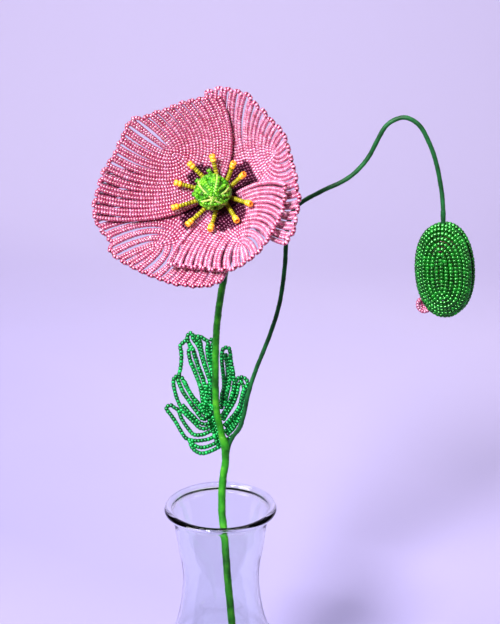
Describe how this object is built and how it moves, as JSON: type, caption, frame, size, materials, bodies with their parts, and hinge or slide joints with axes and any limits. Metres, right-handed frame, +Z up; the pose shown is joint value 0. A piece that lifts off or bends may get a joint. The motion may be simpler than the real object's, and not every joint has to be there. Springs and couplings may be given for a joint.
{
  "type": "beaded poppy in a glass carafe",
  "caption": "Poppy made of glass beads strung on wire: four cupped pink petals, a green pod with stamens, a looped leaf and a hanging bud on taped stems, standing in a waisted glass carafe.",
  "frame": {"origin": "middle of the carafe's flat base", "axes": "+Z up along the carafe's axis; the bloom faces -Y and a little to -X; the bud hangs on the +X side"},
  "size_m": [0.1851, 0.1053, 0.3927],
  "materials": {
    "glass": "clear pressed glass, polished",
    "tape": "waxed crepe floral tape, wound",
    "wire": "drawn florist wire",
    "pink_beads": "pearled pink glass seed beads, aubergine at the petal bases",
    "lime_beads": "transparent lime glass seed beads",
    "olive_beads": "transparent olive glass seed beads",
    "amber_beads": "opaque amber glass beads",
    "leaf_beads": "silver-lined emerald glass seed beads",
    "bud_beads": "silver-lined deep green glass seed beads",
    "wood": "plain turned beech"
  },
  "bodies": {
    "root": {"glass_carafe": "glass", "stem_tape": "tape", "stem_wire": "wire", "fork_tape": "tape", "bud_stem": "tape", "bud_collar": "tape", "flower_neck": "tape", "petal_inner_upper_left": "pink_beads", "petal_inner_lower_right": "pink_beads", "petal_outer_right": "pink_beads", "petal_outer_lower_left": "pink_beads", "bud_petal": "pink_beads", "pod_core": "wood", "pod_beading": "lime_beads", "pod_loop_1": "lime_beads", "pod_loop_2": "lime_beads", "pod_loop_3": "lime_beads", "stamen_filament_1": "olive_beads", "anther_1": "amber_beads", "stamen_filament_2": "olive_beads", "anther_2": "amber_beads", "stamen_filament_3": "olive_beads", "anther_3": "amber_beads", "stamen_filament_4": "olive_beads", "anther_4": "amber_beads", "stamen_filament_5": "olive_beads", "anther_5": "amber_beads", "stamen_filament_6": "olive_beads", "anther_6": "amber_beads", "stamen_filament_7": "olive_beads", "anther_7": "amber_beads", "stamen_filament_8": "olive_beads", "anther_8": "amber_beads", "stamen_filament_9": "olive_beads", "anther_9": "amber_beads", "stamen_filament_10": "olive_beads", "anther_10": "amber_beads", "leaf": "leaf_beads", "bud_sepal_front": "bud_beads", "bud_sepal_back": "bud_beads"}
  },
  "joints": []
}
